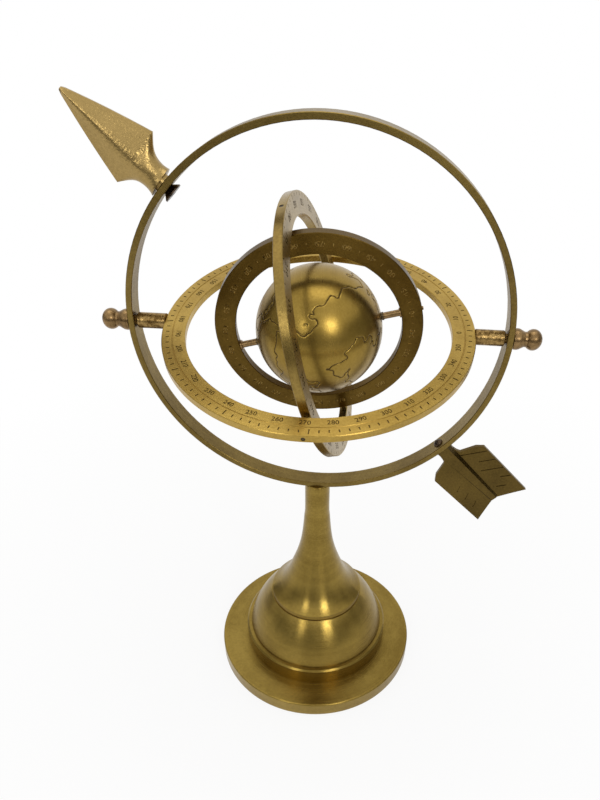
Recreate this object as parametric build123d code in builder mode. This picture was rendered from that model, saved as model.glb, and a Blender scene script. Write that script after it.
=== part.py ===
from build123d import *
from math import asin, cos, degrees, radians, sin, sqrt
import os

os.makedirs("parts", exist_ok=True)

# Armillary sphere on a turned stand, in millimetres, +Z up.
# The origin is the middle of the foot, on the surface that the stand rests on.
# A fixed outer ring stands on the column and carries an arrow. Inside it hang
# three nested rings and a globe, each one turning on pins held by the ring
# around it.

# Fits.
running_fit = 0.05
edge_break = 0.4

# Stand, from the foot up.
pad_inset = 2.4
pad_thickness = 1.2
base_radius = 84.4
base_top = 13.6
base_wall = 6.4
base_plate_thickness = 4.0
base_edge_radius = 1.2
step_ledge = 22.3
step_top = 28.4
step_wall = 6.0
step_plate_thickness = 4.0
step_edge = 1.3
rebate_depth = 1.0
dome_ledge = 3.9
dome_bulge = 3.55
dome_margin = 0.7
dome_top = 64.6
dome_wall = 3.2
crown_thickness = 4.0
column_lip_radius = 38.0
column_lip_height = 4.2
column_recess_radius = 31.0
column_recess_depth = 3.2
flare_radius = 28.9
flare_rise = 9.4
shoulder_radius = 20.6
shoulder_rise = 27.0
shaft_radius = 12.3
shaft_rise = 58.0
throat_radius = 10.2
throat_rise = 80.0
column_height = 116.1
column_top_radius = 9.6
column_top_edge = 0.7
saddle_depth = 0.45
tie_rod_radius = 4.0
tie_rod_bite = 2.4
tie_rod_tail = 1.6
washer_radius = 10.0
washer_thickness = 1.6
nut_across_flats = 13.0
nut_thickness = 4.0

# Fixed outer ring.
ring_thickness = 4.0
ring_width = 13.8

# Moving rings, each one carried with a clearance inside the next.
spindle_run = 19.7
horizon_width = 15.0
horizon_thickness = 5.1
horizon_tilt = 12.5
meridian_clearance = 2.3
meridian_width = 13.8
meridian_thickness = 5.7
meridian_lean = 14.15
zodiac_clearance = 2.7
zodiac_width = 13.5
zodiac_thickness = 6.2
zodiac_turn = 4.1

# Globe and its axle.
globe_radius = 41.3
axle_run = 12.7
globe_wall = 1.8
globe_lap = 3.0
bush_radius = 3.4
bush_length = 5.0
axle_radius = 1.3
axle_proud = 0.9
sleeve_radius = 2.15
sleeve_flange_radius = 3.1
sleeve_flange_thickness = 1.1
pole_washer_radius = 2.6
pole_washer_thickness = 1.4
pole_gap = 0.1

# Pins and spindles of the rings.
pivot_radius = 1.3
pivot_recess = 0.25
pivot_reach = 5.0
spindle_radius = 5.1
spindle_shoulder_gap = 1.0
spindle_end_edge = 0.7
spigot_radius = 1.7
spigot_length = 7.0
journal_radius = 3.2
thread_radius = 2.5
thread_length = 7.5

# Finials, distances outward from the outer face of the ring.
collar_gap = 0.4
collar_radius = 6.9
collar_rim = 6.5
collar_crest = 2.2
collar_length = 4.2
neck_radius = 4.9
neck_reach = 7.7
ball_reach = 13.24
ball_radius = 6.85
ball_half_length = 5.85

# Arrow head, distances outward from the outer face of the ring.
head_angle = 137.4
head_seat_radius = 5.4
head_seat_length = 4.0
head_socket_reach = 1.4
head_socket_radius = 9.4
head_waist_reach = 6.2
head_waist_radius = 7.9
head_swell_reach = 11.0
head_swell_half_width = 8.9
head_swell_height = 8.0
head_swell_roundness = 0.85
head_throat_reach = 15.2
head_throat_half_width = 12.2
head_throat_height = 7.8
head_throat_roundness = 0.45
head_barb_reach = 19.8
head_barb_half_width = 18.2
head_barb_height = 7.3
head_barb_roundness = 0.05
head_flank_reach = 43.0
head_flank_half_width = 10.7
head_flank_height = 5.0
head_nose_reach = 66.4
head_nose_half_width = 2.1
head_nose_height = 2.2
head_tip_reach = 68.3
head_tip_half_width = 1.0
head_tip_height = 1.2
head_edge_half_thickness = 0.7
head_flat_shoulder = 0.16
head_flat_flank = 0.55
head_cut_angle = 5.0

# Arrow tail, distances outward from the outer face of the ring.
tail_angle = -43.6
tail_seat_depth = 0.4
neck_flare_reach = 6.5
neck_flare_half_width = 6.0
neck_curve_reach = 9.1
neck_curve_half_width = 6.4
vane_half_thickness = 1.3
vane_root_reach = 11.8
vane_root_half_width = 7.6
vane_front_reach = 15.9
vane_front_half_width = 18.7
vane_shoulder_reach = 20.0
vane_half_width = 23.1
vane_tip_reach = 71.5
vane_tip_half_width = 22.3
vane_sweep_reach = 65.4
vane_sweep_half_width = 8.4
vane_notch_reach = 62.0
rib_root_half_width = 6.1
rib_root_flat = 4.3
rib_root_height = 5.6
rib_end_half_width = 3.3
rib_end_flat = 2.0
rib_end_height = 3.0
groove_first_reach = 24.6
groove_pitch = 9.7
groove_angle = 60.0
groove_width = 0.7
groove_depth = 0.45
long_groove_lengths = (19.9, 11.9, 16.4, 8.1, 7.0)
long_groove_insets = (0.9, 0.9, 0.9, 0.9, 9.2)
short_groove_count = 3
short_groove_reach = 37.6
short_groove_length = 6.4
short_groove_station = 14.6

# Screws that hold the arrow, driven from inside the ring.
head_screw_height = 3.7
head_screw_radius = 6.2
head_screw_rim = 0.8
head_screw_sink = 0.8
head_screw_shank_radius = 2.5
head_screw_reach = 12.0
screw_slot_width = 1.1
screw_slot_depth = 1.0
tail_screw_radius = 3.5
tail_screw_height = 2.7
tail_screw_rim = 0.4
tail_screw_shank_radius = 1.6
tail_screw_reach = 10.0

# Places worked out from the sizes above.
pad_radius = base_radius - pad_inset
step_radius = base_radius - step_ledge
dome_foot_radius = step_radius - dome_ledge
dome_crown_radius = column_lip_radius + dome_margin
dome_middle_radius = (dome_foot_radius + dome_crown_radius) / 2 + dome_bulge
dome_middle_height = (step_top + dome_top) / 2
zodiac_inner_radius = globe_radius + axle_run
zodiac_outer_radius = zodiac_inner_radius + zodiac_width
meridian_inner_radius = zodiac_outer_radius + zodiac_clearance
meridian_outer_radius = meridian_inner_radius + meridian_width
horizon_inner_radius = meridian_outer_radius + meridian_clearance
horizon_outer_radius = horizon_inner_radius + horizon_width
ring_bore = horizon_outer_radius + spindle_run
ring_radius = ring_bore + ring_thickness
ring_foot = dome_top + column_height
column_top = ring_foot + saddle_depth
ring_centre = Vector(0, 0, ring_foot + ring_radius)
base_ceiling = base_top - base_plate_thickness
tie_hole_radius = tie_rod_radius + running_fit

# Each frame turns with its own ring. The horizon ring lies across Z of its
# frame, the meridian ring across X and the zodiac ring across Y.
horizon_frame = Location(ring_centre) * Location((0, 0, 0), (horizon_tilt, 0, 0))
meridian_frame = horizon_frame * Location((0, 0, 0), (0, -meridian_lean, 0))
zodiac_frame = meridian_frame * Location((0, 0, 0), (0, 0, zodiac_turn))
across_x = Location((0, 0, 0), (0, 90, 0))
across_front = Location((0, 0, 0), (90, 0, 0))
across_back = Location((0, 0, 0), (-90, 0, 0))

# The arrow's profiles are drawn from the outer face of the ring, with x
# outward along the arrow.
ring_plane = Plane(origin=ring_centre, x_dir=(1, 0, 0), z_dir=(0, -1, 0))
head_direction = Vector(cos(radians(head_angle)), 0, sin(radians(head_angle)))
head_origin = ring_centre + head_direction * ring_radius
head_plane = Plane(origin=head_origin, x_dir=head_direction, z_dir=(0, -1, 0))
head_axis = Axis(head_origin, head_direction)
tail_direction = Vector(cos(radians(tail_angle)), 0, sin(radians(tail_angle)))
tail_origin = ring_centre + tail_direction * ring_radius
tail_plane = Plane(origin=tail_origin, x_dir=tail_direction, z_dir=(0, -1, 0))
tail_axis = Axis(tail_origin, tail_direction)

# Stand.

# Felt pad under the foot.
with BuildPart() as felt_pad:
    Cylinder(pad_radius, pad_thickness, align=(Align.CENTER, Align.CENTER, Align.MIN))

felt_pad.part.label = "felt_pad"
export_step(felt_pad.part, "parts/felt_pad.step")

# Base plate, turned, hollow below with a flat web that takes the tie rod's nut.
with BuildPart() as base_plate:
    with BuildSketch(Plane.XZ) as base_profile:
        with BuildLine():
            Polyline(
                (tie_hole_radius, base_ceiling),
                (base_radius - base_wall, base_ceiling),
                (base_radius - base_wall, pad_thickness),
                (base_radius, pad_thickness),
                (base_radius, base_top),
                (tie_hole_radius, base_top),
                close=True,
            )
        make_face()
        base_rim = base_profile.vertices().group_by(Axis.X)[-1]
        fillet(base_rim.sort_by(Axis.Y)[-1], base_edge_radius)
        base_foot_edge = base_profile.vertices().group_by(Axis.X)[-1].sort_by(Axis.Y)[0]
        chamfer(base_foot_edge, edge_break)
    revolve(axis=Axis.Z)

base_plate.part.label = "base_plate"
export_step(base_plate.part, "parts/base_plate.step")

# Step on the base, hollow below, with a shallow rebate that centres the dome.
step_ceiling = step_top - rebate_depth - step_plate_thickness
rebate_floor = step_top - rebate_depth

with BuildPart() as base_step:
    with BuildSketch(Plane.XZ) as step_profile:
        with BuildLine():
            Polyline(
                (tie_hole_radius, step_ceiling),
                (step_radius - step_wall, step_ceiling),
                (step_radius - step_wall, base_top),
                (step_radius, base_top),
                (step_radius, step_top),
                (dome_foot_radius, step_top),
                (dome_foot_radius, rebate_floor),
                (tie_hole_radius, rebate_floor),
                close=True,
            )
        make_face()
        step_rim = step_profile.vertices().group_by(Axis.X)[-1]
        chamfer(step_rim.sort_by(Axis.Y)[-1], step_edge)
    revolve(axis=Axis.Z)

base_step.part.label = "base_step"
export_step(base_step.part, "parts/base_step.step")

# Dome, a hollow shell with a flat crown that carries the column.
crown_underside = dome_top - crown_thickness

with BuildPart() as dome:
    with BuildSketch(Plane.XZ):
        with BuildLine():
            Line((tie_hole_radius, dome_top), (dome_crown_radius, dome_top))
            ThreePointArc(
                (dome_crown_radius, dome_top),
                (dome_middle_radius, dome_middle_height),
                (dome_foot_radius, step_top),
            )
            Polyline(
                (dome_foot_radius, step_top),
                (dome_foot_radius, rebate_floor),
                (dome_foot_radius - dome_wall, rebate_floor),
            )
            ThreePointArc(
                (dome_foot_radius - dome_wall, rebate_floor),
                (dome_middle_radius - dome_wall, dome_middle_height - rebate_depth),
                (dome_crown_radius - edge_break, crown_underside),
            )
            Polyline(
                (dome_crown_radius - edge_break, crown_underside),
                (tie_hole_radius, crown_underside),
                (tie_hole_radius, dome_top),
            )
        make_face()
    revolve(axis=Axis.Z)

dome.part.label = "dome"
export_step(dome.part, "parts/dome.step")

# Column, a turned trumpet with a square lip at its foot. The flat top is cut
# to the curve of the outer ring, which sits in it as in a saddle.
lip_top = dome_top + column_lip_height

with BuildPart() as column:
    with BuildSketch(Plane.XZ) as column_profile:
        with BuildLine():
            Polyline(
                (column_top_radius, column_top - column_top_edge),
                (column_top_radius - column_top_edge, column_top),
                (tie_hole_radius, column_top),
                (tie_hole_radius, dome_top + column_recess_depth),
                (column_recess_radius, dome_top + column_recess_depth),
                (column_recess_radius, dome_top),
                (column_lip_radius, dome_top),
                (column_lip_radius, lip_top),
            )
            Spline(
                (column_lip_radius, lip_top),
                (flare_radius, lip_top + flare_rise),
                (shoulder_radius, lip_top + shoulder_rise),
                (shaft_radius, lip_top + shaft_rise),
                (throat_radius, lip_top + throat_rise),
                (column_top_radius, column_top - column_top_edge),
                tangents=((-1, 0.75), (0, 1)),
            )
        make_face()
        lip_corners = column_profile.vertices().group_by(Axis.X)[-1]
        chamfer(lip_corners.sort_by(Axis.Y)[0], edge_break)
    revolve(axis=Axis.Z)
    with BuildSketch(ring_plane):
        Circle(ring_radius)
    extrude(amount=ring_width / 2, both=True, mode=Mode.SUBTRACT)

column.part.label = "column"
export_step(column.part, "parts/column.step")

# Tie rod from the nut under the base plate up into the outer ring.
washer_bottom = base_ceiling - washer_thickness
nut_bottom = washer_bottom - nut_thickness
rod_bottom = nut_bottom - tie_rod_tail
rod_length = ring_foot + tie_rod_bite - rod_bottom

with BuildPart() as tie_rod:
    with BuildSketch(Plane.XY.offset(rod_bottom)):
        Circle(tie_rod_radius)
    extrude(amount=rod_length)
    chamfer(tie_rod.edges().sort_by(Axis.Z)[0], edge_break)

tie_rod.part.label = "tie_rod"
export_step(tie_rod.part, "parts/tie_rod.step")

with BuildPart() as base_washer:
    with BuildSketch(Plane.XY.offset(washer_bottom)):
        Circle(washer_radius)
        Circle(tie_hole_radius, mode=Mode.SUBTRACT)
    extrude(amount=washer_thickness)

base_washer.part.label = "base_washer"
export_step(base_washer.part, "parts/base_washer.step")

with BuildPart() as base_nut:
    with BuildSketch(Plane.XY.offset(nut_bottom)):
        RegularPolygon(nut_across_flats / 2, side_count=6, major_radius=False)
        Circle(tie_rod_radius, mode=Mode.SUBTRACT)
    extrude(amount=nut_thickness)

base_nut.part.label = "base_nut"
export_step(base_nut.part, "parts/base_nut.step")

# Fixed outer ring and its arrow.

head_screw_face = -ring_thickness - head_screw_height
head_cone_start = head_screw_face + head_screw_rim
head_cone_end = -ring_thickness + head_screw_sink
tail_screw_face = -ring_thickness - tail_screw_height

# Flat hoop with bores for the two spindles, a blind hole for the tie rod and
# seats for the two screws of the arrow.
with BuildPart() as outer_ring:
    with BuildSketch(ring_plane):
        Circle(ring_radius)
        Circle(ring_bore, mode=Mode.SUBTRACT)
    extrude(amount=ring_width / 2, both=True)
    chamfer(outer_ring.edges(), edge_break)
    with BuildSketch(Plane(origin=ring_centre, z_dir=(1, 0, 0))):
        Circle(journal_radius + running_fit)
    extrude(amount=ring_radius + ring_thickness, both=True, mode=Mode.SUBTRACT)
    with BuildSketch(Plane.XY.offset(ring_foot + tie_rod_bite)):
        Circle(tie_rod_radius)
    extrude(amount=-ring_thickness, mode=Mode.SUBTRACT)
    with BuildSketch(head_plane):
        with BuildLine():
            Polyline(
                (head_cone_start, 0),
                (head_cone_start, head_screw_radius),
                (head_cone_end, head_screw_shank_radius + running_fit),
                (ring_thickness, head_screw_shank_radius + running_fit),
                (ring_thickness, 0),
                close=True,
            )
        make_face()
    revolve(axis=head_axis, mode=Mode.SUBTRACT)
    with BuildSketch(tail_plane):
        with BuildLine():
            Polyline(
                (tail_screw_face, 0),
                (tail_screw_face, tail_screw_radius),
                (-ring_thickness, tail_screw_radius),
                (-ring_thickness, tail_screw_shank_radius + running_fit),
                (ring_thickness, tail_screw_shank_radius + running_fit),
                (ring_thickness, 0),
                close=True,
            )
        make_face()
    revolve(axis=tail_axis, mode=Mode.SUBTRACT)

outer_ring.part.label = "outer_ring"
export_step(outer_ring.part, "parts/outer_ring.step")

# Arrow head: lofted in three stretches, a neck that swells from the round
# socket into the barbs, a blade with a soft ridge, and a blunt nose. Each
# section is given by its reach, half width, half height and roundness, from 0
# for the near flat sides of a blade to 1 for a circle. The socket's end is cut
# a little out of square, as filed by hand.
barb_section = (head_barb_reach, head_barb_half_width, head_barb_height, head_barb_roundness)
nose_section = (head_nose_reach, head_nose_half_width, head_nose_height, 0)
head_neck_sections = (
    (0, head_socket_radius, head_socket_radius, 1),
    (head_waist_reach, head_waist_radius, head_waist_radius, 1),
    (head_swell_reach, head_swell_half_width, head_swell_height, head_swell_roundness),
    (head_throat_reach, head_throat_half_width, head_throat_height, head_throat_roundness),
    barb_section,
)
head_blade_sections = (
    barb_section,
    (head_flank_reach, head_flank_half_width, head_flank_height, 0),
    nose_section,
)
head_nose_sections = (
    nose_section,
    (head_tip_reach, head_tip_half_width, head_tip_height, 0),
)
cut_angle = radians(head_angle + head_cut_angle)
head_cut_plane = Plane(
    origin=head_origin + head_direction * head_socket_reach,
    z_dir=(cos(cut_angle), 0, sin(cut_angle)),
)
arc_third = radians(30)

with BuildPart() as arrow_head:
    for stretch in (head_neck_sections, head_blade_sections, head_nose_sections):
        for reach, half_width, half_height, roundness in stretch:
            edge_height = head_edge_half_thickness * (1 - roundness / 2)
            rise = half_height - edge_height
            shoulder_share = head_flat_shoulder + roundness * (sin(arc_third) - head_flat_shoulder)
            flank_share = head_flat_flank + roundness * (cos(arc_third) - head_flat_flank)
            section_plane = Plane(
                origin=head_origin + head_direction * reach,
                x_dir=head_plane.y_dir,
                z_dir=head_direction,
            )
            with BuildSketch(section_plane):
                with BuildLine() as upper_half:
                    Spline(
                        (-half_width, edge_height),
                        (-half_width * cos(arc_third), edge_height + rise * shoulder_share),
                        (-half_width * sin(arc_third), edge_height + rise * flank_share),
                        (0, half_height),
                        (half_width * sin(arc_third), edge_height + rise * flank_share),
                        (half_width * cos(arc_third), edge_height + rise * shoulder_share),
                        (half_width, edge_height),
                    )
                    mirror(upper_half.edges(), about=Plane.XZ)
                    Line((half_width, edge_height), (half_width, -edge_height))
                    Line((-half_width, edge_height), (-half_width, -edge_height))
                make_face()
        loft()
    split(bisect_by=head_cut_plane, keep=Keep.TOP)
    with BuildSketch(head_plane):
        with Locations((0, head_seat_radius / 2)):
            Rectangle(head_seat_length * 2, head_seat_radius)
    revolve(axis=head_axis)
    with BuildSketch(ring_plane):
        Circle(ring_radius)
    extrude(amount=ring_width, both=True, mode=Mode.SUBTRACT)
    with BuildSketch(head_plane):
        with BuildLine():
            Polyline(
                (-ring_thickness, 0),
                (-ring_thickness, head_screw_shank_radius),
                (head_screw_reach, head_screw_shank_radius),
                (head_screw_reach, 0),
                close=True,
            )
        make_face()
    revolve(axis=head_axis, mode=Mode.SUBTRACT)

arrow_head.part.label = "arrow_head"
export_step(arrow_head.part, "parts/arrow_head.step")

# Countersunk slotted screw that draws the arrow head against the ring.
with BuildPart() as arrow_head_screw:
    with BuildSketch(head_plane):
        with BuildLine():
            Polyline(
                (head_screw_face, 0),
                (head_screw_face, head_screw_radius),
                (head_cone_start, head_screw_radius),
                (head_cone_end, head_screw_shank_radius),
                (head_screw_reach, head_screw_shank_radius),
                (head_screw_reach, 0),
                close=True,
            )
        make_face()
    revolve(axis=head_axis)
    with BuildSketch(head_plane):
        with Locations((head_screw_face, 0)):
            Rectangle(screw_slot_depth * 2, screw_slot_width)
    extrude(amount=head_screw_radius + edge_break, both=True, mode=Mode.SUBTRACT)

arrow_head_screw.part.label = "arrow_head_screw"
export_step(arrow_head_screw.part, "parts/arrow_head_screw.step")

# Arrow tail: two flat vanes on a tapered rib, cast in one piece, with slanted
# feather lines cut into both faces of both vanes.
rib_root_plane = Plane(
    origin=tail_origin - tail_direction * tail_seat_depth,
    x_dir=tail_plane.y_dir,
    z_dir=tail_direction,
)
rib_end_plane = Plane(
    origin=tail_origin + tail_direction * vane_notch_reach,
    x_dir=tail_plane.y_dir,
    z_dir=tail_direction,
)

with BuildPart() as arrow_tail:
    with BuildSketch(tail_plane):
        with BuildLine() as vane_half:
            Line((neck_flare_reach, 0), (neck_flare_reach, neck_flare_half_width))
            ThreePointArc(
                (neck_flare_reach, neck_flare_half_width),
                (neck_curve_reach, neck_curve_half_width),
                (vane_root_reach, vane_root_half_width),
            )
            Polyline(
                (vane_root_reach, vane_root_half_width),
                (vane_front_reach, vane_front_half_width),
                (vane_shoulder_reach, vane_half_width),
                (vane_tip_reach, vane_tip_half_width),
            )
            ThreePointArc(
                (vane_tip_reach, vane_tip_half_width),
                (vane_sweep_reach, vane_sweep_half_width),
                (vane_notch_reach, 0),
            )
            mirror(vane_half.edges(), about=Plane.XZ)
        make_face()
    extrude(amount=vane_half_thickness, both=True)
    with BuildSketch(rib_root_plane):
        Polygon(
            (rib_root_half_width, vane_half_thickness),
            (rib_root_flat, rib_root_height),
            (-rib_root_flat, rib_root_height),
            (-rib_root_half_width, vane_half_thickness),
            (-rib_root_half_width, -vane_half_thickness),
            (-rib_root_flat, -rib_root_height),
            (rib_root_flat, -rib_root_height),
            (rib_root_half_width, -vane_half_thickness),
        )
    with BuildSketch(rib_end_plane):
        Polygon(
            (rib_end_half_width, vane_half_thickness),
            (rib_end_flat, rib_end_height),
            (-rib_end_flat, rib_end_height),
            (-rib_end_half_width, vane_half_thickness),
            (-rib_end_half_width, -vane_half_thickness),
            (-rib_end_flat, -rib_end_height),
            (rib_end_flat, -rib_end_height),
            (rib_end_half_width, -vane_half_thickness),
        )
    loft(ruled=True)
    with BuildSketch(ring_plane):
        Circle(ring_radius)
    extrude(amount=ring_width, both=True, mode=Mode.SUBTRACT)
    # Feather lines, cut by hand and so uneven in length: long ones that run in
    # from the edge of the upper vane, and a few short ones on the lower vane.
    groove_cosine = cos(radians(groove_angle))
    groove_sine = sin(radians(groove_angle))
    for face_side in (-1, 1):
        with BuildSketch(tail_plane.offset(face_side * vane_half_thickness)):
            for groove, length in enumerate(long_groove_lengths):
                middle = long_groove_insets[groove] + length / 2 * groove_sine
                lead = groove_first_reach + groove * groove_pitch
                station = lead - middle * groove_cosine / groove_sine
                with Locations((station, vane_half_width - middle)):
                    Rectangle(length, groove_width, rotation=groove_angle)
            for groove in range(short_groove_count):
                station = short_groove_reach + groove * groove_pitch
                with Locations((station, -short_groove_station)):
                    Rectangle(short_groove_length, groove_width, rotation=-groove_angle)
        extrude(amount=-face_side * groove_depth, mode=Mode.SUBTRACT)
    with BuildSketch(tail_plane):
        with BuildLine():
            Polyline(
                (-ring_thickness, 0),
                (-ring_thickness, tail_screw_shank_radius),
                (tail_screw_reach, tail_screw_shank_radius),
                (tail_screw_reach, 0),
                close=True,
            )
        make_face()
    revolve(axis=tail_axis, mode=Mode.SUBTRACT)

arrow_tail.part.label = "arrow_tail"
export_step(arrow_tail.part, "parts/arrow_tail.step")

# Small domed screw that holds the tail.
crown_angle = radians(45)

with BuildPart() as arrow_tail_screw:
    with BuildSketch(tail_plane):
        with BuildLine():
            ThreePointArc(
                (tail_screw_face, 0),
                (
                    -ring_thickness - tail_screw_height * cos(crown_angle),
                    tail_screw_radius * sin(crown_angle),
                ),
                (-ring_thickness - tail_screw_rim, tail_screw_radius),
            )
            Polyline(
                (-ring_thickness - tail_screw_rim, tail_screw_radius),
                (-ring_thickness, tail_screw_radius),
                (-ring_thickness, tail_screw_shank_radius),
                (tail_screw_reach, tail_screw_shank_radius),
                (tail_screw_reach, 0),
                (tail_screw_face, 0),
            )
        make_face()
    revolve(axis=tail_axis)
    with BuildSketch(tail_plane):
        with Locations((tail_screw_face, 0)):
            Rectangle(screw_slot_depth * 2, screw_slot_width)
    extrude(amount=tail_screw_radius, both=True, mode=Mode.SUBTRACT)

arrow_tail_screw.part.label = "arrow_tail_screw"
export_step(arrow_tail_screw.part, "parts/arrow_tail_screw.step")

# Horizon ring, turning on two spindles in the outer ring.

with BuildPart() as horizon_ring:
    with BuildSketch(Plane(horizon_frame)):
        Circle(horizon_outer_radius)
        Circle(horizon_inner_radius, mode=Mode.SUBTRACT)
    extrude(amount=horizon_thickness / 2, both=True)
    chamfer(horizon_ring.edges(), edge_break)
    for side in (-1, 1):
        with BuildSketch(Plane(horizon_frame * across_x).offset(side * horizon_outer_radius)):
            Circle(spigot_radius)
        extrude(amount=-side * spigot_length, mode=Mode.SUBTRACT)
    with BuildSketch(Plane(horizon_frame * across_front)):
        Circle(pivot_radius)
    extrude(amount=ring_radius, both=True, mode=Mode.SUBTRACT)

horizon_ring.part.label = "horizon_ring"
export_step(horizon_ring.part, "parts/horizon_ring.step")

# Spindles and finials. A spindle's rod is coped to the rim of the horizon ring
# and let into it by a spigot. Its journal turns in the outer ring, and the
# finial is screwed on outside.
rim_reach = horizon_outer_radius - ring_radius
spigot_reach = rim_reach - spigot_length
shoulder_reach = -ring_thickness - spindle_shoulder_gap
thread_reach = collar_gap + thread_length
collar_reach = collar_gap + collar_length
ball_arc = 180 - degrees(asin(neck_radius / ball_radius))

for side, side_name in ((-1, "left"), (1, "right")):
    side_origin = ring_centre + Vector(side * ring_radius, 0, 0)
    side_plane = Plane(origin=side_origin, x_dir=(side, 0, 0), z_dir=(0, -side, 0))
    side_axis = Axis(side_origin, (side, 0, 0))

    with BuildPart() as spindle:
        with BuildSketch(side_plane):
            with BuildLine():
                Polyline(
                    (rim_reach - edge_break, 0),
                    (rim_reach - edge_break, spindle_radius),
                    (shoulder_reach - spindle_end_edge, spindle_radius),
                    (shoulder_reach, spindle_radius - spindle_end_edge),
                    (shoulder_reach, journal_radius),
                    (collar_gap, journal_radius),
                    (collar_gap, thread_radius),
                    (thread_reach, thread_radius),
                    (thread_reach, 0),
                    close=True,
                )
            make_face()
        revolve(axis=side_axis)
        with BuildSketch(Plane(horizon_frame)):
            Circle(horizon_outer_radius)
        extrude(amount=spindle_radius * 2, both=True, mode=Mode.SUBTRACT)
        with BuildSketch(side_plane):
            with BuildLine():
                Polyline(
                    (spigot_reach, 0),
                    (spigot_reach, spigot_radius),
                    (rim_reach + edge_break, spigot_radius),
                    (rim_reach + edge_break, 0),
                    close=True,
                )
            make_face()
        revolve(axis=side_axis)

    spindle.part.label = f"spindle_{side_name}"
    export_step(spindle.part, f"parts/spindle_{side_name}.step")

    with BuildPart() as finial:
        with BuildSketch(side_plane):
            with BuildLine():
                ball = EllipticalCenterArc(
                    center=(ball_reach, 0),
                    x_radius=ball_half_length,
                    y_radius=ball_radius,
                    start_angle=0,
                    arc_size=ball_arc,
                )
                Line(ball @ 1, (neck_reach, neck_radius))
                Line((neck_reach, neck_radius), (collar_reach, collar_rim))
                ThreePointArc(
                    (collar_reach, collar_rim),
                    (collar_gap + collar_crest, collar_radius),
                    (collar_gap, collar_rim),
                )
                Polyline(
                    (collar_gap, collar_rim),
                    (collar_gap, thread_radius),
                    (thread_reach, thread_radius),
                    (thread_reach, 0),
                    ball @ 0,
                )
            make_face()
        revolve(axis=side_axis)

    finial.part.label = f"finial_{side_name}"
    export_step(finial.part, f"parts/finial_{side_name}.step")

# Pins fixed in the horizon ring, on which the meridian ring turns.
meridian_pin_length = horizon_outer_radius - pivot_recess - meridian_outer_radius + pivot_reach

for across, side_name in ((across_front, "front"), (across_back, "back")):
    with BuildPart() as meridian_pivot:
        with BuildSketch(Plane(horizon_frame * across).offset(horizon_outer_radius - pivot_recess)):
            Circle(pivot_radius)
        extrude(amount=-meridian_pin_length + pivot_recess)

    meridian_pivot.part.label = f"meridian_pivot_{side_name}"
    export_step(meridian_pivot.part, f"parts/meridian_pivot_{side_name}.step")

# Meridian ring.

with BuildPart() as meridian_ring:
    with BuildSketch(Plane(meridian_frame * across_x)):
        Circle(meridian_outer_radius)
        Circle(meridian_inner_radius, mode=Mode.SUBTRACT)
    extrude(amount=meridian_thickness / 2, both=True)
    chamfer(meridian_ring.edges(), edge_break)
    for across in (across_front, across_back):
        with BuildSketch(Plane(meridian_frame * across).offset(meridian_outer_radius)):
            Circle(pivot_radius + running_fit)
        extrude(amount=-pivot_reach, mode=Mode.SUBTRACT)
    with BuildSketch(Plane(meridian_frame)):
        Circle(pivot_radius)
    extrude(amount=ring_radius, both=True, mode=Mode.SUBTRACT)

meridian_ring.part.label = "meridian_ring"
export_step(meridian_ring.part, "parts/meridian_ring.step")

# Pins fixed in the meridian ring, on which the zodiac ring turns.
zodiac_pin_length = meridian_outer_radius - pivot_recess - zodiac_outer_radius + pivot_reach

for side, side_name in ((-1, "bottom"), (1, "top")):
    with BuildPart() as zodiac_pivot:
        with BuildSketch(Plane(meridian_frame).offset(side * (meridian_outer_radius - pivot_recess))):
            Circle(pivot_radius)
        extrude(amount=-side * (zodiac_pin_length - pivot_recess))

    zodiac_pivot.part.label = f"zodiac_pivot_{side_name}"
    export_step(zodiac_pivot.part, f"parts/zodiac_pivot_{side_name}.step")

# Zodiac ring and the globe's axle.

with BuildPart() as zodiac_ring:
    with BuildSketch(Plane(zodiac_frame * across_front)):
        Circle(zodiac_outer_radius)
        Circle(zodiac_inner_radius, mode=Mode.SUBTRACT)
    extrude(amount=zodiac_thickness / 2, both=True)
    chamfer(zodiac_ring.edges(), edge_break)
    for side in (-1, 1):
        with BuildSketch(Plane(zodiac_frame).offset(side * zodiac_outer_radius)):
            Circle(pivot_radius + running_fit)
        extrude(amount=-side * pivot_reach, mode=Mode.SUBTRACT)
    with BuildSketch(Plane(zodiac_frame * across_x)):
        Circle(axle_radius)
    extrude(amount=ring_radius, both=True, mode=Mode.SUBTRACT)
    # Flat seats for the flanges of the axle's sleeves.
    with BuildSketch(Plane(zodiac_frame * across_x)):
        Circle(sleeve_flange_radius)
    extrude(amount=zodiac_inner_radius, both=True, mode=Mode.SUBTRACT)

zodiac_ring.part.label = "zodiac_ring"
export_step(zodiac_ring.part, "parts/zodiac_ring.step")

axle_plane = Plane(zodiac_frame * across_front)
axle_axis = Axis(ring_centre, axle_plane.x_dir)

with BuildPart() as globe_axle:
    with BuildSketch(Plane(zodiac_frame * across_x)):
        Circle(axle_radius)
    extrude(amount=zodiac_outer_radius + axle_proud, both=True)
    fillet(globe_axle.edges().filter_by(GeomType.CIRCLE), axle_radius / 2)

globe_axle.part.label = "globe_axle"
export_step(globe_axle.part, "parts/globe_axle.step")

# Sleeves and washers on the axle keep the globe in the middle of the ring.
washer_station = globe_radius + pole_gap
sleeve_station = washer_station + pole_washer_thickness
flange_station = zodiac_inner_radius - sleeve_flange_thickness

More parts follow.
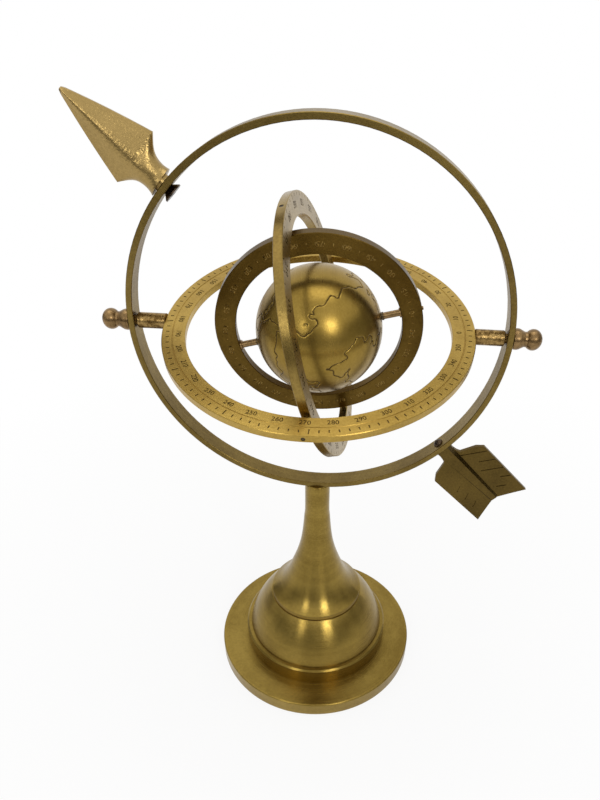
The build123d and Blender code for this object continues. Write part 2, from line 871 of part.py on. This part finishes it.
for side, side_name in ((-1, "left"), (1, "right")):
    side_plane = Plane(
        origin=ring_centre, x_dir=axle_plane.x_dir * side, z_dir=axle_plane.z_dir * side
    )

    with BuildPart() as axle_sleeve:
        with BuildSketch(side_plane):
            with BuildLine():
                Polyline(
                    (sleeve_station, axle_radius),
                    (sleeve_station, sleeve_radius),
                    (flange_station, sleeve_radius),
                    (flange_station, sleeve_flange_radius),
                    (zodiac_inner_radius, sleeve_flange_radius),
                    (zodiac_inner_radius, axle_radius),
                    close=True,
                )
            make_face()
        revolve(axis=axle_axis)

    axle_sleeve.part.label = f"axle_sleeve_{side_name}"
    export_step(axle_sleeve.part, f"parts/axle_sleeve_{side_name}.step")

    with BuildPart() as pole_washer:
        with BuildSketch(side_plane):
            with BuildLine():
                Polyline(
                    (washer_station, axle_radius),
                    (washer_station, pole_washer_radius),
                    (sleeve_station, pole_washer_radius),
                    (sleeve_station, axle_radius),
                    close=True,
                )
            make_face()
        revolve(axis=axle_axis)

    pole_washer.part.label = f"pole_washer_{side_name}"
    export_step(pole_washer.part, f"parts/pole_washer_{side_name}.step")

# Globe.

# Two hollow halves soldered at a lapped seam, with a bearing bush in each pole.
globe_inner_radius = globe_radius - globe_wall
lap_radius = globe_radius - globe_wall / 2
outer_pole = sqrt(globe_radius**2 - bush_radius**2)
inner_pole = sqrt(globe_inner_radius**2 - bush_radius**2)

for side, side_name in ((-1, "left"), (1, "right")):
    side_plane = Plane(
        origin=ring_centre, x_dir=axle_plane.x_dir * side, z_dir=axle_plane.z_dir * side
    )

    with BuildPart() as globe_half:
        with BuildSketch(side_plane):
            with BuildLine():
                RadiusArc((0, globe_radius), (outer_pole, bush_radius), globe_radius)
                Line((outer_pole, bush_radius), (inner_pole, bush_radius))
                RadiusArc((inner_pole, bush_radius), (0, globe_inner_radius), -globe_inner_radius)
                Line((0, globe_inner_radius), (0, globe_radius))
            make_face()
        revolve(axis=axle_axis)
        with BuildSketch(Plane(zodiac_frame * across_x)):
            Circle(lap_radius)
            Circle(globe_inner_radius, mode=Mode.SUBTRACT)
        if side < 0:
            extrude(amount=-globe_lap, mode=Mode.SUBTRACT)
        else:
            extrude(amount=-globe_lap)

    globe_half.part.label = f"globe_half_{side_name}"
    export_step(globe_half.part, f"parts/globe_half_{side_name}.step")

    with BuildPart() as pole_bush:
        with BuildSketch(side_plane):
            with BuildLine():
                Polyline(
                    (outer_pole, axle_radius + running_fit),
                    (outer_pole, bush_radius),
                    (outer_pole - bush_length, bush_radius),
                    (outer_pole - bush_length, axle_radius + running_fit),
                    close=True,
                )
            make_face()
        revolve(axis=axle_axis)

    pole_bush.part.label = f"pole_bush_{side_name}"
    export_step(pole_bush.part, f"parts/pole_bush_{side_name}.step")
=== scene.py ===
import math

import bmesh
import bpy
from mathutils import Matrix, Vector, noise


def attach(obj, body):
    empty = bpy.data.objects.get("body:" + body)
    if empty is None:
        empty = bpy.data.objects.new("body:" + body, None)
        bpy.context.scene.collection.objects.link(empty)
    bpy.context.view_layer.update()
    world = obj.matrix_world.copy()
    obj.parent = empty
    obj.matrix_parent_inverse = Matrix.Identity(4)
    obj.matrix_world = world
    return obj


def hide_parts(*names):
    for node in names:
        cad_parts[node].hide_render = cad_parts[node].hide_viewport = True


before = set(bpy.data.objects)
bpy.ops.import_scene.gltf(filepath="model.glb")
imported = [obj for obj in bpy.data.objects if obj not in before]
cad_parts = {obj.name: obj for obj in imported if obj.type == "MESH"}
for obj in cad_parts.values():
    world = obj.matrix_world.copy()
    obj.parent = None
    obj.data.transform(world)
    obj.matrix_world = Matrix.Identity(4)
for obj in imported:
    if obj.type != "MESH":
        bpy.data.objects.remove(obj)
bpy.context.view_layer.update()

scene = bpy.context.scene
scene.view_settings.view_transform = "Standard"
mm = 0.001

# The camera stands where the photograph was taken from.
view = {
    "place": (0.032794, -0.390820, 0.475818),
    "right": (0.997161, 0.071741, 0.022874),
    "up": (-0.061141, 0.594091, 0.802070),
    "sensor": 36,
    "lens": 28.617,
    "shiftX": -0.0404,
    "shiftY": 0.0979,
    "nearest": 0.01,
}
right = Vector(view["right"]).normalized()
up = Vector(view["up"]).normalized()
turn = Matrix((right, up, right.cross(up))).transposed().to_4x4()
lens = bpy.data.cameras.new("camera")
lens.sensor_width = view["sensor"]
lens.lens = view["lens"]
lens.shift_x = view["shiftX"]
lens.shift_y = view["shiftY"]
lens.clip_start = view["nearest"]
camera = bpy.data.objects.new("camera", lens)
camera.matrix_world = Matrix.Translation(view["place"]) @ turn
scene.collection.objects.link(camera)
scene.camera = camera

# Frames of the rings. Each has its Z axis across its own ring.
pose = {"height": 0.3057, "tilt": 12.5, "lean": -14.15, "twist": 4.1}
centre = Vector((0, 0, pose["height"]))
atCentre = Matrix.Translation(centre)
horizonTurn = Matrix.Rotation(math.radians(pose["tilt"]), 4, "X")
meridianTurn = horizonTurn @ Matrix.Rotation(math.radians(pose["lean"]), 4, "Y")
zodiacTurn = meridianTurn @ Matrix.Rotation(math.radians(pose["twist"]), 4, "Z")
acrossX = Matrix.Rotation(math.radians(90), 4, "Y")
acrossFront = Matrix.Rotation(math.radians(90), 4, "X")
frames = {
    "stand": Matrix.Identity(4),
    "hoop": atCentre @ acrossFront,
    "horizon": atCentre @ horizonTurn,
    "meridian": atCentre @ meridianTurn @ acrossX,
    "zodiac": atCentre @ zodiacTurn @ acrossFront,
    "globe": atCentre @ zodiacTurn @ acrossX,
    "spindle": atCentre @ acrossX,
}


# Small helpers that build shader nodes.
def addNode(tree, kind, **settings):
    made = tree.nodes.new(kind)
    for key, value in settings.items():
        setattr(made, key, value)
    return made


def feed(tree, socket, value):
    if isinstance(value, bpy.types.NodeSocket):
        tree.links.new(value, socket)
    elif isinstance(value, tuple) and socket.type == "RGBA":
        socket.default_value = (*value, 1)
    else:
        socket.default_value = value


def calculate(tree, operation, first, second=0.0):
    made = addNode(tree, "ShaderNodeMath", operation=operation)
    feed(tree, made.inputs[0], first)
    feed(tree, made.inputs[1], second)
    return made.outputs[0]


def objectPlace(tree):
    return addNode(tree, "ShaderNodeTexCoord").outputs["Object"]


def grain(tree, vector, scale, detail=3, rough=0.55, dimensions="3D"):
    made = addNode(tree, "ShaderNodeTexNoise", noise_dimensions=dimensions)
    feed(tree, made.inputs["Scale"], scale)
    feed(tree, made.inputs["Detail"], detail)
    feed(tree, made.inputs["Roughness"], rough)
    feed(tree, made.inputs["Vector"], vector)
    return made.outputs["Fac"]


def spread(tree, value, low, high, start=0.0, end=1.0):
    made = addNode(tree, "ShaderNodeMapRange", clamp=True)
    for name, number in (("From Min", low), ("From Max", high), ("To Min", start), ("To Max", end)):
        feed(tree, made.inputs[name], number)
    feed(tree, made.inputs["Value"], value)
    return made.outputs[0]


# A Mix node keeps its two colours in sockets 6 and 7, and its colour result in output 2.
def mixColours(tree, factor, first, second):
    made = addNode(tree, "ShaderNodeMix", data_type="RGBA")
    feed(tree, made.inputs["Factor"], factor)
    feed(tree, made.inputs[6], first)
    feed(tree, made.inputs[7], second)
    return made.outputs[2]


def mixShaders(tree, factor, first, second, output):
    made = addNode(tree, "ShaderNodeMixShader")
    for socket, value in zip(made.inputs, (factor, first, second)):
        feed(tree, socket, value)
    feed(tree, tree.nodes[output].inputs[0], made.outputs[0])


def addBump(tree, shader, height, strength, distance):
    bump = addNode(tree, "ShaderNodeBump")
    bump.inputs["Strength"].default_value = strength
    bump.inputs["Distance"].default_value = distance
    feed(tree, bump.inputs["Height"], height)
    feed(tree, shader.inputs["Normal"], bump.outputs[0])


# 1 where the camera sees the surface, also in metal or through glass.
def seenDirectly(tree):
    paths = addNode(tree, "ShaderNodeLightPath").outputs
    seen = calculate(tree, "MAXIMUM", paths["Is Camera Ray"], paths["Is Glossy Ray"])
    return calculate(tree, "MAXIMUM", seen, paths["Is Transmission Ray"])


def newMaterial(name):
    material = bpy.data.materials.new(name)
    material.use_nodes = True
    tree = material.node_tree
    return material, tree, tree.nodes["Principled BSDF"]


# Noise that depends only on the distance from the turning axis and the place along it.
def turnedMarks(tree, place, turned, look):
    inward = turned.inverted()
    local = addNode(tree, "ShaderNodeMapping")
    local.inputs["Location"].default_value = inward.translation
    local.inputs["Rotation"].default_value = inward.to_euler()
    feed(tree, local.inputs["Vector"], place)
    parts = addNode(tree, "ShaderNodeSeparateXYZ")
    feed(tree, parts.inputs[0], local.outputs[0])
    x, y, along = parts.outputs
    squares = calculate(tree, "ADD", calculate(tree, "MULTIPLY", x, x), calculate(tree, "MULTIPLY", y, y))
    section = addNode(tree, "ShaderNodeCombineXYZ")
    feed(tree, section.inputs[0], calculate(tree, "SQRT", squares))
    feed(tree, section.inputs[1], along)
    lines = grain(tree, section.outputs[0], look["lines"], 4, 0.7, "2D")
    bands = grain(tree, section.outputs[0], look["bands"], 2, 0.5, "2D")
    return lines, bands


# The tangent runs round the turning axis, so a quarter turn draws highlights across the tool marks.
def brushRound(tree, shader, place, turned, streak):
    spoke = addNode(tree, "ShaderNodeVectorMath", operation="SUBTRACT")
    feed(tree, spoke.inputs[0], place)
    spoke.inputs[1].default_value = turned.translation
    around = addNode(tree, "ShaderNodeVectorMath", operation="CROSS_PRODUCT")
    around.inputs[0].default_value = turned.to_3x3() @ Vector((0, 0, 1))
    feed(tree, around.inputs[1], spoke.outputs[0])
    carried = addNode(tree, "ShaderNodeVectorTransform", vector_type="VECTOR",
                      convert_from="OBJECT", convert_to="WORLD")
    feed(tree, carried.inputs[0], around.outputs[0])
    feed(tree, shader.inputs["Tangent"], carried.outputs[0])
    shader.inputs["Anisotropic"].default_value = streak
    shader.inputs["Anisotropic Rotation"].default_value = 0.25


# Worn metal. With a turned frame, fine tool marks run round the Z axis of that frame.
def metal(name, look, turned=None):
    material, tree, shader = newMaterial(name)
    shader.inputs["Metallic"].default_value = 1
    place = objectPlace(tree)
    cloud = grain(tree, place, look["cloud"], 4, 0.62)
    speck = grain(tree, place, look["speck"], 3, 0.6)
    stain = calculate(tree, "ADD", calculate(tree, "MULTIPLY", cloud, look["cloudShare"]),
                      calculate(tree, "MULTIPLY", speck, 1 - look["cloudShare"]))
    patina = spread(tree, stain, look["clean"], look["dull"])
    height = calculate(tree, "MULTIPLY", speck, look["pits"])
    if look["dents"] > 0:
        dents = grain(tree, place, look["dentScale"], 2, 0.4)
        height = calculate(tree, "ADD", height, calculate(tree, "MULTIPLY", dents, look["dents"]))
    roughness = spread(tree, stain, 0.3, 0.7, look["smooth"], look["rough"])
    if turned is not None:
        lines, bands = turnedMarks(tree, place, turned, look)
        height = calculate(tree, "ADD", height, calculate(tree, "MULTIPLY", lines, look["cut"]))
        uneven = spread(tree, lines, 0.3, 0.7, -look["uneven"], look["uneven"])
        roughness = calculate(tree, "ADD", roughness, uneven)
        rings = spread(tree, bands, 0.35, 0.65, -look["ringed"], look["ringed"])
        patina = calculate(tree, "ADD", patina, rings)
        brushRound(tree, shader, place, turned, look["streak"])
    feed(tree, shader.inputs["Base Color"], mixColours(tree, patina, look["bright"], look["dark"]))
    feed(tree, shader.inputs["Roughness"], roughness)
    addBump(tree, shader, height, look["bump"], look["depth"])
    return material


# The common look of the brass. Scales are in waves to the metre.
antique = {
    "bright": (0.31, 0.213, 0.050),
    "dark": (0.19, 0.124, 0.026),
    "clean": 0.38,
    "dull": 0.64,
    "cloud": 18,
    "cloudShare": 0.65,
    "speck": 700,
    "smooth": 0.24,
    "rough": 0.36,
    "uneven": 0.03,
    "pits": 0.4,
    "lines": 2400,
    "bands": 160,
    "cut": 0.9,
    "ringed": 0.12,
    "streak": 0.6,
    "bump": 0.3,
    "depth": 0.0001,
    "dents": 0.0,
    "dentScale": 450,
}

# What each finish changes in that look, and the frame that it is turned in, if any. Some of these tones are
# partly painted light, as marked below.
finishesAndPaintedLight = {
    "stand": ("stand", {"streak": 0.88, "pits": 0.15, "smooth": 0.2, "rough": 0.28}),
    # The hoop's darker tone is partly its own worn brass and partly painted shade, for the dark room its
    # front faces reflect.
    "hoop": ("hoop", {"bright": (0.235, 0.162, 0.045), "dark": (0.14, 0.092, 0.024)}),
    # The horizon ring's light tone is partly a more polished brass and partly a painted reflection of the
    # bright ceiling on its upper face.
    "horizon": ("horizon", {"bright": (0.50, 0.335, 0.080), "dark": (0.33, 0.21, 0.045)}),
    "meridian": ("meridian", {"bright": (0.33, 0.225, 0.062), "dark": (0.18, 0.118, 0.032)}),
    # The zodiac ring's very dark tone is painted shade, for the dark room its faces reflect.
    "zodiac": ("zodiac", {"bright": (0.125, 0.074, 0.014), "dark": (0.070, 0.040, 0.007), "streak": 0.4}),
    "globe": ("globe", {"bright": (0.34, 0.225, 0.050), "dark": (0.24, 0.155, 0.030), "smooth": 0.25,
                        "rough": 0.34, "pits": 0.25, "cut": 0.0, "ringed": 0.1, "streak": 0.0}),
    "arrow": (None, {"bright": (0.40, 0.275, 0.10), "dark": (0.27, 0.185, 0.065), "pits": 0.5,
                     "dents": 6.0, "dentScale": 800}),
    # The vane's dark tone is painted shade, for the dark surroundings its faces reflect.
    "vane": (None, {"bright": (0.135, 0.088, 0.022), "dark": (0.070, 0.045, 0.012), "smooth": 0.3,
                    "rough": 0.42, "pits": 0.8}),
    "spindle": (None, {"bright": (0.36, 0.235, 0.085), "dark": (0.13, 0.075, 0.022), "clean": 0.42,
                       "dull": 0.58, "cloud": 260, "smooth": 0.2, "rough": 0.42, "dents": 7.0,
                       "dentScale": 600}),
    "turned": ("spindle", {"bright": (0.32, 0.205, 0.090), "dark": (0.15, 0.092, 0.038), "cloud": 160,
                           "smooth": 0.26, "rough": 0.44, "ringed": 0.3}),
    "darkPin": (None, {"bright": (0.11, 0.080, 0.042), "dark": (0.045, 0.032, 0.020), "cloud": 300}),
    "darkScrew": (None, {"bright": (0.11, 0.075, 0.045), "dark": (0.040, 0.028, 0.020), "cloud": 260}),
    "steel": (None, {"bright": (0.50, 0.49, 0.47), "dark": (0.33, 0.32, 0.31), "cloud": 120}),
    "groove": (None, {"bright": (0.15, 0.095, 0.028), "dark": (0.055, 0.034, 0.012), "cloud": 400,
                      "smooth": 0.45, "rough": 0.6}),
    "brightGroove": (None, {"bright": (0.36, 0.24, 0.07), "dark": (0.16, 0.10, 0.028), "cloud": 400,
                            "smooth": 0.3, "rough": 0.5}),
}
materials = {}
for key, (turnedIn, changes) in finishesAndPaintedLight.items():
    materials[key] = metal(key + "Metal", {**antique, **changes}, frames.get(turnedIn))

feltLook = {
    "nap": 2400,
    "light": (0.050, 0.058, 0.048),
    "deep": (0.018, 0.022, 0.018),
    "rough": 0.95,
    "sheen": 0.3,
    "bump": 0.6,
    "depth": 0.0003,
}
materials["felt"], tree, shader = newMaterial("felt")
nap = grain(tree, objectPlace(tree), feltLook["nap"], 5, 0.7)
napTone = mixColours(tree, spread(tree, nap, 0.35, 0.65), feltLook["deep"], feltLook["light"])
feed(tree, shader.inputs["Base Color"], napTone)
shader.inputs["Roughness"].default_value = feltLook["rough"]
shader.inputs["Sheen Weight"].default_value = feltLook["sheen"]
addBump(tree, shader, nap, feltLook["bump"], feltLook["depth"])

dressed = {
    "felt": ["felt_pad"],
    "stand": ["base_plate", "base_step", "dome", "column"],
    "hoop": ["outer_ring"],
    "horizon": ["horizon_ring"],
    "meridian": ["meridian_ring"],
    "zodiac": ["zodiac_ring"],
    "globe": ["globe_half_left", "globe_half_right"],
    "arrow": ["arrow_head"],
    "vane": ["arrow_tail"],
    "spindle": ["spindle_left", "spindle_right"],
    "turned": ["finial_left", "finial_right", "globe_axle", "axle_sleeve_left", "axle_sleeve_right",
               "pole_bush_left", "pole_bush_right"],
    "darkPin": ["meridian_pivot_front", "meridian_pivot_back", "zodiac_pivot_top", "zodiac_pivot_bottom",
                "pole_washer_left", "pole_washer_right"],
    "darkScrew": ["arrow_head_screw", "arrow_tail_screw"],
    "steel": ["tie_rod", "base_washer", "base_nut"],
}
for key, names in dressed.items():
    for name in names:
        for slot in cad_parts[name].material_slots:
            slot.material = materials[key]
print("materials on the nodes")


# Helpers that make objects from bmesh forms.
def addObject(name, form, objectMaterials):
    mesh = bpy.data.meshes.new(name)
    form.to_mesh(mesh)
    form.free()
    for material in objectMaterials:
        mesh.materials.append(material)
    made = bpy.data.objects.new(name, mesh)
    scene.collection.objects.link(made)
    return made


def addPiece(name, form, body, replaced, pieceMaterials):
    bmesh.ops.recalc_face_normals(form, faces=form.faces)
    piece = addObject(name, form, pieceMaterials)
    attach(piece, body)
    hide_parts(*replaced)
    return piece


def addCutter(form, material):
    bmesh.ops.recalc_face_normals(form, faces=form.faces)
    return addObject("cutter", form, [material])


def applyModifiers(piece):
    graph = bpy.context.evaluated_depsgraph_get()
    mesh = bpy.data.meshes.new_from_object(piece.evaluated_get(graph))
    piece.modifiers.clear()
    old = piece.data
    piece.data = mesh
    bpy.data.meshes.remove(old)


def carve(piece, cutters, angle=30):
    for cutter in cutters:
        step = piece.modifiers.new("cut", "BOOLEAN")
        step.operation = "DIFFERENCE"
        step.solver = "EXACT"
        step.use_self = True
        step.material_mode = "TRANSFER"
        step.object = cutter
    applyModifiers(piece)
    for cutter in cutters:
        bpy.data.objects.remove(cutter)
    piece.data.shade_smooth()
    piece.data.set_sharp_from_angle(angle=math.radians(angle))


# A flat ring across Z with broken edges, and any scribed lines turned into its upper face.
def flatRing(values, segments=288):
    outer = values["outer"] * mm
    inner = values["inner"] * mm
    half = values["thickness"] * mm / 2
    edge = values["edge"] * mm
    profile = [(inner + edge, -half), (inner, -half + edge), (inner, half - edge), (inner + edge, half)]
    for line in values["lines"]:
        near = line * mm - values["lineWidth"] * mm / 2
        far = line * mm + values["lineWidth"] * mm / 2
        low = half - values["lineDepth"] * mm
        profile += [(near, half), (near * 0.7 + far * 0.3, low), (near * 0.3 + far * 0.7, low), (far, half)]
    profile += [(outer - edge, half), (outer, half - edge), (outer, -half + edge), (outer - edge, -half)]
    form = bmesh.new()
    corners = [form.verts.new((x, 0, z)) for x, z in profile]
    section = [form.edges.new((corners[i - 1], corners[i])) for i in range(len(corners))]
    bmesh.ops.spin(form, geom=corners + section, cent=(0, 0, 0), axis=(0, 0, 1), angle=math.tau,
                   steps=segments, use_merge=True)
    bmesh.ops.remove_doubles(form, verts=form.verts, dist=1e-6)
    return form


numeralLook = {"resolution": 3, "weight": 0.012}


# A number of the given height, as a prism that stands on the XY plane.
def numeralPrism(text, size, height):
    curve = bpy.data.curves.new("numeral", "FONT")
    curve.body = text
    curve.size = size
    curve.align_x = "CENTER"
    curve.align_y = "CENTER"
    curve.resolution_u = numeralLook["resolution"]
    curve.offset = size * numeralLook["weight"]
    holder = bpy.data.objects.new("numeral", curve)
    flat = bpy.data.meshes.new_from_object(holder)
    bpy.data.objects.remove(holder)
    bpy.data.curves.remove(curve)
    form = bmesh.new()
    form.from_mesh(flat)
    bpy.data.meshes.remove(flat)
    bmesh.ops.remove_doubles(form, verts=form.verts, dist=1e-7)
    bmesh.ops.dissolve_limit(form, angle_limit=0.01, verts=form.verts, edges=form.edges)
    raised = bmesh.ops.extrude_face_region(form, geom=form.faces, use_keep_orig=True)
    tops = [item for item in raised["geom"] if isinstance(item, bmesh.types.BMVert)]
    bmesh.ops.translate(form, vec=(0, 0, height), verts=tops)
    return form


def joinForms(whole, part):
    kept = bpy.data.meshes.new("part")
    part.to_mesh(kept)
    part.free()
    whole.from_mesh(kept)
    bpy.data.meshes.remove(kept)


# A small turn of a stroke, as hand punching leaves. The key keeps the series apart.
def wobble(values, number, key):
    return noise.noise(Vector((number, key, values["outer"]))) * values["sway"]


def onRing(angle, radius, height):
    return Matrix.Rotation(angle, 4, "Z") @ Matrix.Translation((radius * mm, 0, height))


# Strokes and numerals that reach from above the face of a ring down into it.
def engraving(values, face):
    whole = bmesh.new()
    half = values["thickness"] * mm / 2
    deep = values["depth"] * mm
    for index in range(values["numerals"]):
        part = numeralPrism(str(index * values["numeralStep"]), values["numeralSize"] * mm, deep * 2)
        place = onRing(math.tau * index / values["numerals"], values["numeralRadius"], half - deep)
        upright = Matrix.Rotation(math.radians(90) + wobble(values, index * 3.7, face), 4, "Z")
        bmesh.ops.transform(part, matrix=place @ upright, verts=part.verts)
        joinForms(whole, part)
    for index in range(values["marks"]):
        length = values["markLength"] * mm
        if index % values["markEvery"] == 0:
            length *= values["markLonger"]
        place = onRing(math.tau * (index + 0.5) / values["marks"], values["markRadius"], half)
        turned = Matrix.Rotation(wobble(values, index * 1.9, face + 4), 4, "Z")
        stroke = Matrix.Diagonal((length, values["markWidth"] * mm, deep * 2, 1))
        bmesh.ops.create_cube(whole, size=1, matrix=place @ turned @ stroke)
    if face < 0:
        bmesh.ops.transform(whole, matrix=Matrix.Rotation(math.pi, 4, "X"), verts=whole.verts)
    return whole


# One bore right across a ring, for the two pins that end flush in its rim.
def bore(direction, radius, reach):
    form = bmesh.new()
    towards = direction.to_track_quat("Z", "Y").to_matrix().to_4x4()
    bmesh.ops.create_cone(form, cap_ends=True, segments=24, radius1=radius, radius2=radius,
                          depth=reach * 2, matrix=atCentre @ towards)
    return form


# The engraved rings, in millimetres. A face of 1 is the upper one and -1 the lower one.
rings = {
    "horizon": {
        "outer": 101.3, "inner": 86.3, "thickness": 5.1, "edge": 0.4,
        "lines": [94.4], "lineWidth": 0.9, "lineDepth": 0.35,
        "numerals": 36, "numeralStep": 10, "numeralSize": 4.6, "numeralRadius": 90.7,
        "marks": 108, "markRadius": 97.6, "markLength": 2.2, "markWidth": 0.75,
        "markEvery": 9, "markLonger": 1.7,
        "depth": 0.3, "sway": 0.35, "faces": [1], "groove": "groove",
        "boreAxis": horizonTurn.to_3x3() @ Vector((0, 1, 0)), "boreRadius": 1.35,
    },
    "meridian": {
        "outer": 84.0, "inner": 70.2, "thickness": 5.7, "edge": 0.4,
        "lines": [],
        "numerals": 24, "numeralStep": 15, "numeralSize": 5.6, "numeralRadius": 77.3,
        "marks": 72, "markRadius": 82.0, "markLength": 1.6, "markWidth": 0.6,
        "markEvery": 3, "markLonger": 1.5,
        "depth": 0.3, "sway": 0.4, "faces": [1, -1], "groove": "groove",
        "boreAxis": meridianTurn.to_3x3() @ Vector((0, 0, 1)), "boreRadius": 1.35,
    },
    "zodiac": {
        "outer": 67.5, "inner": 54.0, "thickness": 6.2, "edge": 0.4,
        "lines": [],
        "numerals": 24, "numeralStep": 15, "numeralSize": 4.8, "numeralRadius": 60.8,
        "marks": 72, "markRadius": 60.8, "markLength": 2.2, "markWidth": 0.55,
        "markEvery": 2, "markLonger": 0.7,
        "depth": 0.25, "sway": 0.4, "faces": [1, -1], "groove": "brightGroove",
        "boreAxis": zodiacTurn.to_3x3() @ Vector((1, 0, 0)), "boreRadius": 1.35,
    },
}
for key, values in rings.items():
    form = flatRing(values)
    bmesh.ops.transform(form, matrix=frames[key], verts=form.verts)
    piece = addPiece(key + "Engraved", form, key, [key + "_ring"], [materials[key]])
    pinBore = bore(values["boreAxis"], values["boreRadius"] * mm, values["outer"] * mm * 1.2)
    cutters = [addCutter(pinBore, materials["groove"])]
    for face in values["faces"]:
        form = engraving(values, face)
        bmesh.ops.transform(form, matrix=frames[key], verts=form.verts)
        cutters.append(addCutter(form, materials[values["groove"]]))
    carve(piece, cutters)
    print(key, "ring", len(piece.data.polygons), "faces")

# The globe, polished, in millimetres until it is placed. Coast lines are scribed
# where a field of noise crosses zero, and the mesh is made finer only near them.
globe = {
    "radius": 41.3,
    "fineness": 6,
    "coastScale": 0.03,
    "coastOffset": (3.1, 7.4, 1.2),
    "coastFade": 1.0,
    "coastGap": 2.1,
    "coastDetail": 4,
    "slopeReach": 0.2,
    "finerWithin": (1.8, 1.0, 0.55),
    "width": 0.42,
    "depth": 0.32,
    "darkWithin": 0.8,
}


def coast(point):
    place = point * globe["coastScale"] + Vector(globe["coastOffset"])
    return noise.fractal(place, globe["coastFade"], globe["coastGap"], globe["coastDetail"])


# The distance from the coast line is the field divided by its slope along the surface.
def fromCoast(point):
    here = coast(point)
    reach = globe["slopeReach"]
    slope = Vector([coast(point + step * reach) - here for step in Matrix.Identity(3)]) / reach
    outward = point.normalized()
    slope -= outward * slope.dot(outward)
    return abs(here) / max(slope.length, 1e-6)


form = bmesh.new()
bmesh.ops.create_icosphere(form, subdivisions=globe["fineness"], radius=globe["radius"])
for nearness in globe["finerWithin"]:
    close = {vert for vert in form.verts if fromCoast(vert.co) < nearness}
    split = [edge for edge in form.edges if edge.verts[0] in close or edge.verts[1] in close]
    bmesh.ops.subdivide_edges(form, edges=split, cuts=1, use_grid_fill=True)
    for vert in form.verts:
        vert.co = vert.co.normalized() * globe["radius"]
bmesh.ops.triangulate(form, faces=form.faces)
distances = {vert: fromCoast(vert.co) for vert in form.verts}
for face in form.faces:
    face.smooth = True
    mean = sum(distances[vert] for vert in face.verts) / len(face.verts)
    face.material_index = int(mean < globe["width"] * globe["darkWithin"])
for vert in form.verts:
    vert.co -= vert.co.normalized() * globe["depth"] * math.exp(-(distances[vert] / globe["width"]) ** 2)
print("globe", len(form.faces), "faces")
bmesh.ops.transform(form, matrix=frames["globe"] @ Matrix.Scale(mm, 4), verts=form.verts)
addPiece("globeShell", form, "globe", ["globe_half_left", "globe_half_right"],
         [materials["globe"], materials["groove"]])

# The floor fades to white paper away from the object and keeps its shadow.
floorLook = {
    "size": 30.0,
    "tone": 0.86,
    "fibreTone": 1.02,
    "fibre": 400,
    "rough": 0.9,
    "paper": 0.88,
    "near": 0.15,
    "far": 0.6,
}
paper, tree, shader = newMaterial("paper")
shader.inputs["Roughness"].default_value = floorLook["rough"]
shader.inputs["Specular IOR Level"].default_value = 0
fibre = grain(tree, objectPlace(tree), floorLook["fibre"], 4)
plain = (floorLook["tone"],) * 3
fibrous = (floorLook["tone"] * floorLook["fibreTone"],) * 3
feed(tree, shader.inputs["Base Color"], mixColours(tree, fibre, plain, fibrous))
away = addNode(tree, "ShaderNodeVectorMath", operation="LENGTH")
feed(tree, away.inputs[0], objectPlace(tree))
fade = spread(tree, away.outputs["Value"], floorLook["near"], floorLook["far"], floorLook["paper"], 1.0)
glow = addNode(tree, "ShaderNodeEmission")
whiteness = calculate(tree, "MULTIPLY", seenDirectly(tree), fade)
mixShaders(tree, whiteness, shader.outputs[0], glow.outputs[0], "Material Output")
form = bmesh.new()
bmesh.ops.create_grid(form, x_segments=1, y_segments=1, size=floorLook["size"])
addObject("floor", form, [paper])

# A dark wall round the front, open behind, as a room has. Only the metal sees it.
wallLook = {
    "radius": 1.9,
    "bottom": 0.01,
    "top": 1.15,
    "open": 110,
    "segments": 48,
    "tone": 0.42,
    "darker": 0.5,
    "lighter": 1.6,
    "patches": 1.4,
}
plaster, tree, shader = newMaterial("wall")
patch = spread(tree, grain(tree, objectPlace(tree), wallLook["patches"], 2), 0.35, 0.65)
darkTone = (wallLook["tone"] * wallLook["darker"],) * 3
lightTone = (wallLook["tone"] * wallLook["lighter"],) * 3
feed(tree, shader.inputs["Base Color"], mixColours(tree, patch, darkTone, lightTone))
shader.inputs["Roughness"].default_value = 1
form = bmesh.new()
foot = form.verts.new((0, -wallLook["radius"], wallLook["bottom"]))
head = form.verts.new((0, -wallLook["radius"], wallLook["top"]))
upright = form.edges.new((foot, head))
sweep = math.radians(360 - wallLook["open"])
bmesh.ops.rotate(form, cent=(0, 0, 0), matrix=Matrix.Rotation(-sweep / 2, 3, "Z"), verts=form.verts)
bmesh.ops.spin(form, geom=[foot, head, upright], cent=(0, 0, 0), axis=(0, 0, 1), angle=sweep,
               steps=wallLook["segments"])
wall = addObject("wall", form, [plaster])
wall.visible_camera = False
wall.visible_diffuse = False
wall.visible_shadow = False

# Two windows at the camera's side and a bright ceiling. Sizes are in metres and powers in watts.
lamps = {
    "windowRight": {"place": (0.66, -1.25, 1.02), "wide": 0.42, "tall": 0.50, "power": 4.8},
    "windowLeft": {"place": (-0.56, -1.23, 0.92), "wide": 0.30, "tall": 0.42, "power": 1.5},
    "ceiling": {"place": (0.0, 0.15, 2.0), "wide": 1.4, "tall": 1.1, "power": 8.0},
}
for key, values in lamps.items():
    light = bpy.data.lights.new(key, "AREA")
    light.shape = "RECTANGLE"
    light.size = values["wide"]
    light.size_y = values["tall"]
    light.energy = values["power"]
    lamp = bpy.data.objects.new(key, light)
    lamp.location = values["place"]
    lamp.rotation_euler = (Vector(values["place"]) - centre).to_track_quat("Z", "Y").to_euler()
    scene.collection.objects.link(lamp)

# The room's own light. Where the background is seen, it is white paper.
sky = {"tint": (1.0, 0.99, 0.97), "ambient": 0.62, "paperTint": (1.0, 1.0, 1.0), "paper": 1.0}
world = bpy.data.worlds.new("studio")
scene.world = world
world.use_nodes = True
tree = world.node_tree
room = tree.nodes["Background"]
feed(tree, room.inputs["Color"], sky["tint"])
room.inputs["Strength"].default_value = sky["ambient"]
backdrop = addNode(tree, "ShaderNodeBackground")
feed(tree, backdrop.inputs["Color"], sky["paperTint"])
backdrop.inputs["Strength"].default_value = sky["paper"]
mixShaders(tree, seenDirectly(tree), room.outputs[0], backdrop.outputs[0], "World Output")
print("light")
